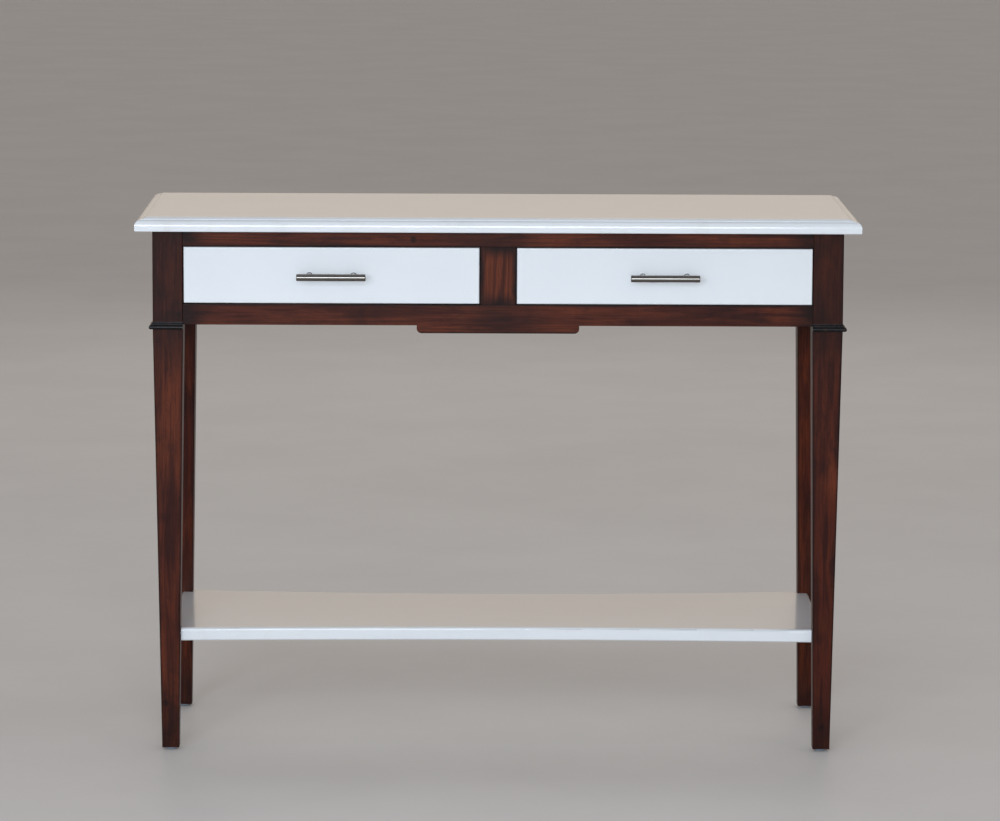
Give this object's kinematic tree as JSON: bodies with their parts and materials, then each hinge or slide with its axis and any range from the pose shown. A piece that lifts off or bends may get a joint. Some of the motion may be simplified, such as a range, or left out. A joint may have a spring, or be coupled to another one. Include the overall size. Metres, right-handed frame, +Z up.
{
  "type": "console table",
  "caption": "Console table with a moulded white top, inset drawers with bar pulls, square tapered dark wood legs with bead mouldings, and an incurved white lower shelf.",
  "frame": {"origin": "on the floor, in the middle of the length and of the overall depth, which runs from the drawer pulls to the back edge of the top", "axes": "+X along the length towards the right drawer, +Y from the front to the back, +Z up"},
  "size_m": [1.05, 0.41, 0.79],
  "materials": {
    "lacquer_white": "cool white polyester lacquer, glossy, over fibreboard",
    "wood_stained": "dark red-brown mahogany stain with shaded edges, satin lacquer",
    "wood_ebonised": "near-black stain, satin lacquer",
    "wood_raw": "pale birch, sanded and unfinished",
    "steel_brushed": "brushed satin nickel",
    "steel_zinc": "zinc plated",
    "nylon": "pale grey nylon, smooth"
  },
  "bodies": {
    "frame": {"top_panel": "lacquer_white", "lower_shelf": "lacquer_white", "leg_front_left": "wood_stained", "leg_front_right": "wood_stained", "leg_rear_left": "wood_stained", "leg_rear_right": "wood_stained", "rail_front_top": "wood_stained", "rail_front_bottom": "wood_stained", "stile_centre": "wood_stained", "apron_left": "wood_stained", "apron_right": "wood_stained", "apron_back": "wood_stained", "shelf_plugs": "wood_stained", "leg_bead_front_left": "wood_ebonised", "leg_bead_front_right": "wood_ebonised", "leg_bead_rear_left": "wood_ebonised", "leg_bead_rear_right": "wood_ebonised", "foot_glides": "nylon", "divider_centre": "wood_raw", "runner_left_outer": "wood_raw", "runner_left_inner": "wood_raw", "runner_right_inner": "wood_raw", "runner_right_outer": "wood_raw", "kicker_left": "wood_raw", "kicker_right": "wood_raw", "top_cleats": "wood_raw", "closing_stops": "wood_raw", "frame_dowels": "wood_raw", "top_screws": "steel_zinc", "shelf_screws": "steel_zinc"},
    "drawer_left": {"drawer_left_front": "lacquer_white", "drawer_left_side_l": "wood_raw", "drawer_left_side_r": "wood_raw", "drawer_left_back": "wood_raw", "drawer_left_bottom": "wood_raw", "drawer_left_dowels": "wood_raw", "drawer_left_stop_button": "wood_raw", "drawer_left_pull_bar": "steel_brushed", "drawer_left_pull_posts": "steel_brushed", "drawer_left_pull_screws": "steel_zinc", "drawer_left_stop_screw": "steel_zinc"},
    "drawer_right": {"drawer_right_front": "lacquer_white", "drawer_right_side_l": "wood_raw", "drawer_right_side_r": "wood_raw", "drawer_right_back": "wood_raw", "drawer_right_bottom": "wood_raw", "drawer_right_dowels": "wood_raw", "drawer_right_stop_button": "wood_raw", "drawer_right_pull_bar": "steel_brushed", "drawer_right_pull_posts": "steel_brushed", "drawer_right_pull_screws": "steel_zinc", "drawer_right_stop_screw": "steel_zinc"}
  },
  "joints": [
    {"name": "drawer_left_slide", "type": "slide", "parent": "frame", "child": "drawer_left", "axis": [0, -1, 0], "range_m": [0, 0.26]},
    {"name": "drawer_right_slide", "type": "slide", "parent": "frame", "child": "drawer_right", "axis": [0, -1, 0], "range_m": [0, 0.26]}
  ]
}
